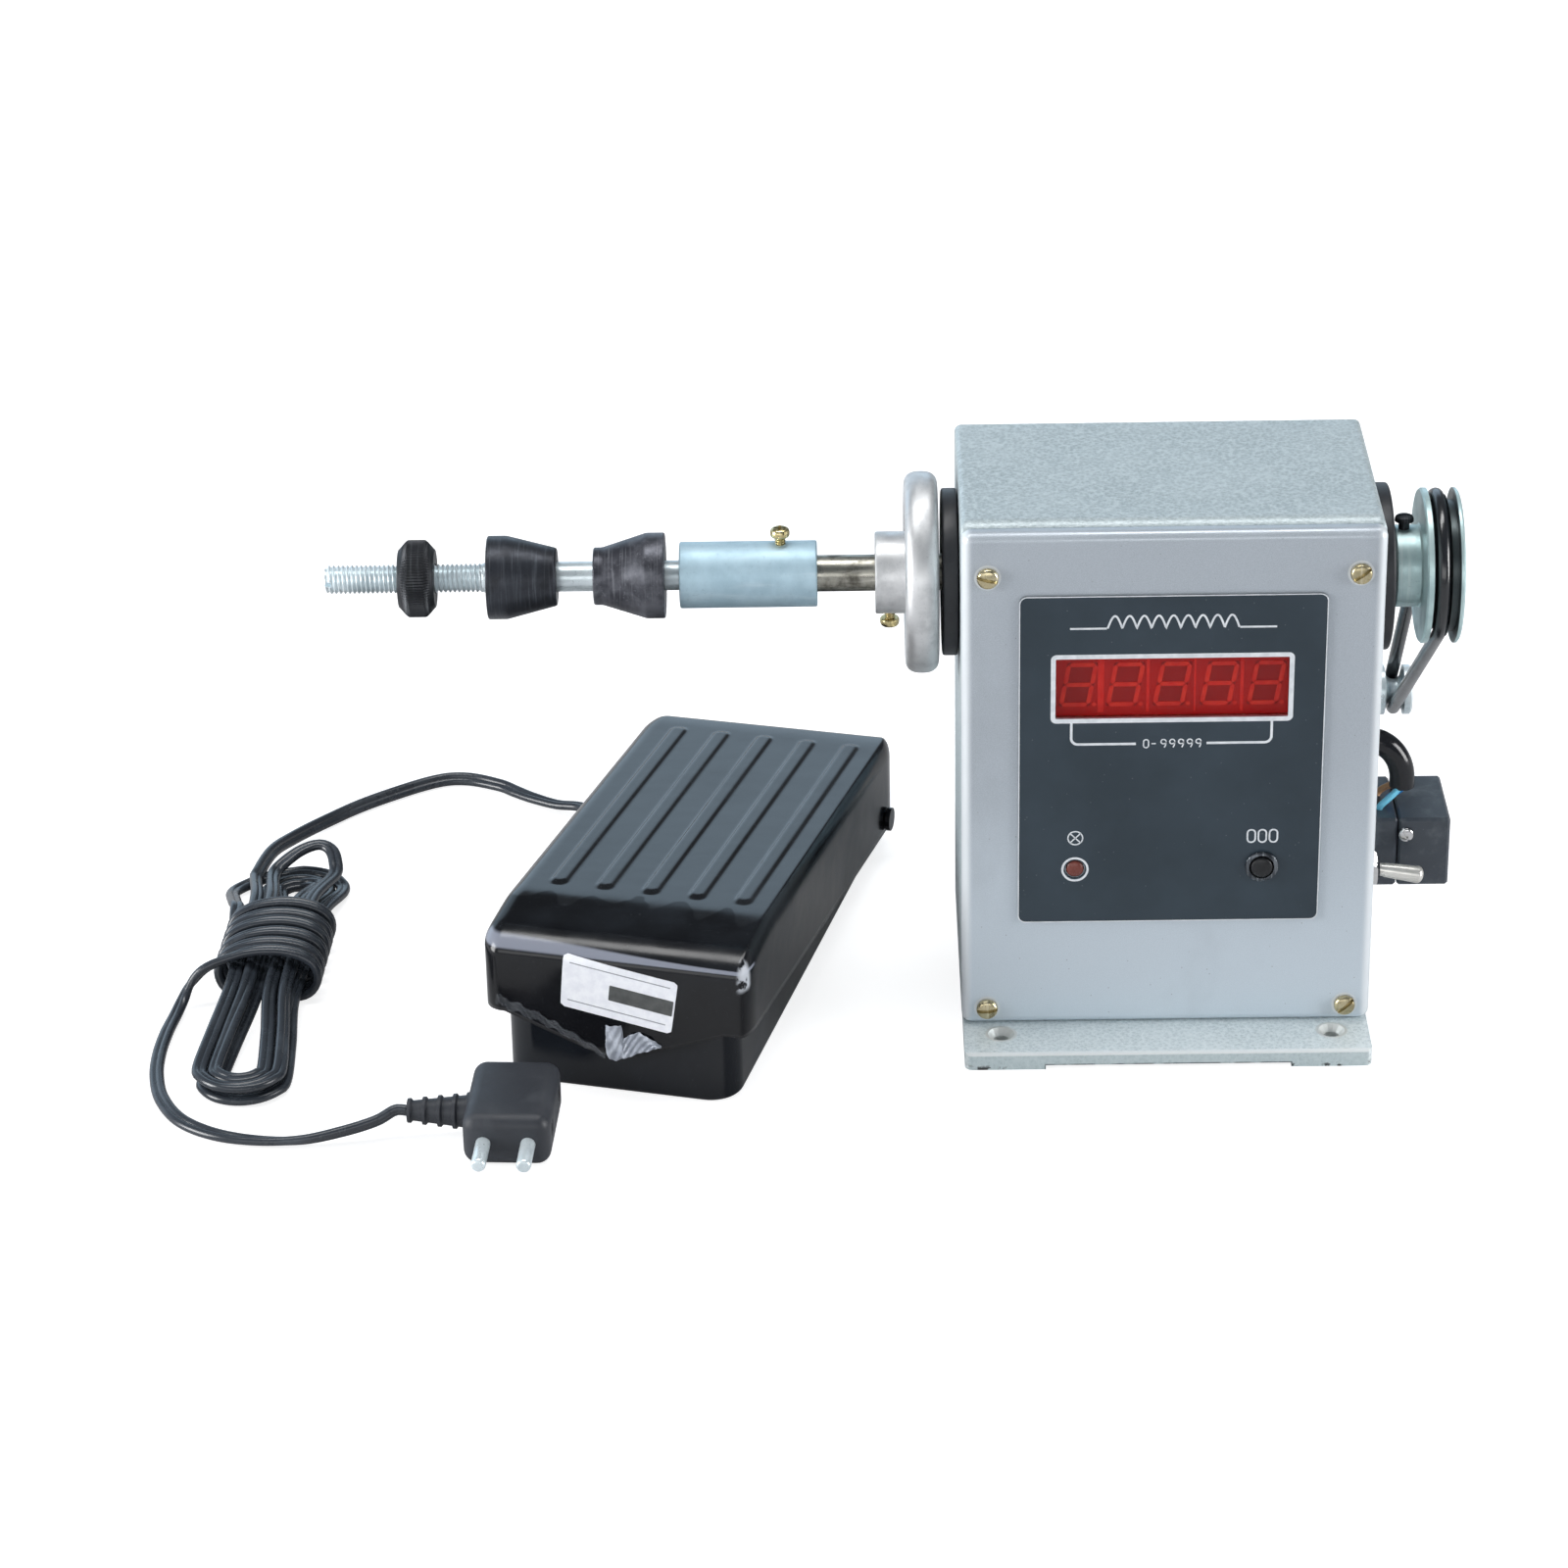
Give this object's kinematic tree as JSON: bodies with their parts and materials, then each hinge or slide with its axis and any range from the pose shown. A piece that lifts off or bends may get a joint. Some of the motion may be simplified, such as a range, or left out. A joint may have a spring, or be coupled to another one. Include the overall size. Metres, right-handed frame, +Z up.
{
  "type": "wire coil winding machine",
  "caption": "Bench coil winder: boxed counter head with a motor-driven horizontal spindle, handwheel, clamping cones on a threaded arbor, and a corded foot pedal.",
  "frame": {"origin": "centre of the base plate's underside", "axes": "+X along the winding spindle from its threaded end to the belt, +Y away from the operator, +Z up"},
  "size_m": [0.3621, 0.2417, 0.1533],
  "materials": {
    "hammer_paint": "grey hammer paint",
    "silver_paint": "smooth silver-grey paint",
    "brass": "yellow zinc plate",
    "overlay": "dark slate film with white print",
    "red_window": "clear red",
    "display": "dark display body",
    "board": "green circuit board",
    "lamp": "dull red lamp",
    "black_plastic": "black plastic",
    "gloss_black": "glossy black plastic",
    "grey_bush": "grey bush",
    "steel": "ground steel",
    "bearing_steel": "polished bearing steel",
    "zinc": "bright zinc plate",
    "aluminium": "turned cast aluminium",
    "black_oxide": "black oxide",
    "chrome": "chrome plate",
    "belt_rubber": "matt black rubber",
    "motor_iron": "dark painted iron",
    "enamel": "glossy black enamel",
    "spring_steel": "spring steel",
    "rubber": "black rubber",
    "cord": "black vinyl",
    "wire_blue": "blue wire insulation",
    "wire_tan": "tan wire insulation"
  },
  "bodies": {
    "machine": {"base_plate": "hammer_paint", "housing": "hammer_paint", "front_cover": "silver_paint", "front_screw_1": "brass", "front_screw_2": "brass", "front_screw_3": "brass", "front_screw_4": "brass", "panel_overlay": "overlay", "display_window": "red_window", "led_display": "display", "counter_board": "board", "indicator_led": "lamp", "reset_switch": "grey_bush", "bearing_flange_left": "black_oxide", "bearing_flange_right": "black_oxide", "bearing_left": "bearing_steel", "bearing_right": "bearing_steel", "drive_belt": "belt_rubber", "motor_body": "motor_iron", "motor_cap_left": "zinc", "motor_cap_right": "zinc", "motor_cradle": "motor_iron", "counter_sensor": "board", "toggle_body": "black_plastic", "toggle_nut": "chrome", "socket_base": "black_plastic", "socket_cover": "black_plastic", "socket_screw": "chrome", "lead_grommet": "rubber", "lead_sleeve": "gloss_black", "wire_pale_blue": "wire_blue", "wire_blue": "wire_blue", "wire_tan": "wire_tan", "pedal_tray": "enamel", "hinge_pin": "steel", "pedal_spring": "spring_steel", "speed_controller": "black_plastic", "cord_bush": "rubber", "cord_lead": "cord", "cord_hank": "cord", "cord_tail": "cord", "plug": "cord"},
    "spindle": {"spindle_shaft": "steel", "handwheel": "aluminium", "handwheel_screw": "brass", "coupling_sleeve": "zinc", "coupling_screw": "brass", "threaded_arbor": "zinc", "drive_pulley": "zinc", "pulley_screw": "black_oxide", "counter_disc": "black_plastic"},
    "motor_rotor": {"motor_shaft": "steel", "motor_pulley": "zinc"},
    "nut": {"knurled_nut": "black_oxide"},
    "left_cone": {"cone_left": "black_oxide"},
    "right_cone": {"cone_right": "black_oxide"},
    "pedal": {"pedal_cover": "enamel"},
    "toggle": {"toggle_lever": "chrome"},
    "button": {"reset_button": "gloss_black"}
  },
  "joints": [
    {"name": "spindle_spin", "type": "hinge", "parent": "machine", "child": "spindle", "pos_m": [0, -0.0318, 0.1255], "axis": [1, 0, 0], "continuous": true},
    {"name": "motor_spin", "type": "hinge", "parent": "machine", "child": "motor_rotor", "pos_m": [0, 0.0492, 0.049], "axis": [1, 0, 0], "continuous": true},
    {"name": "nut_travel", "type": "slide", "parent": "spindle", "child": "nut", "axis": [1, 0, 0], "range_m": [-0.014, 0.006]},
    {"name": "left_cone_slide", "type": "slide", "parent": "spindle", "child": "left_cone", "axis": [1, 0, 0], "range_m": [-0.006, 0.0045]},
    {"name": "right_cone_slide", "type": "slide", "parent": "spindle", "child": "right_cone", "axis": [1, 0, 0], "range_m": [-0.0045, 0.0035]},
    {"name": "pedal_press", "type": "hinge", "parent": "machine", "child": "pedal", "pos_m": [-0.11277, 0.05007, 0.0125], "axis": [0.9681, -0.2504, 0], "range_deg": [0, 3.5], "stiffness_Nm_per_rad": 8, "springref_deg": -3.44, "deforming": ["pedal_spring"]},
    {"name": "toggle_flip", "type": "hinge", "parent": "machine", "child": "toggle", "pos_m": [0.05693, -0.0598, 0.047], "axis": [0, 1, 0], "range_deg": [-20, 0]},
    {"name": "button_press", "type": "slide", "parent": "machine", "child": "button", "axis": [0, 1, 0], "range_m": [0, 0.0015], "stiffness_N_per_m": 150, "springref_m": -0.0005}
  ],
  "couplings": [
    {"joint": "motor_spin", "follows": "spindle_spin", "ratio": 3.5741}
  ]
}
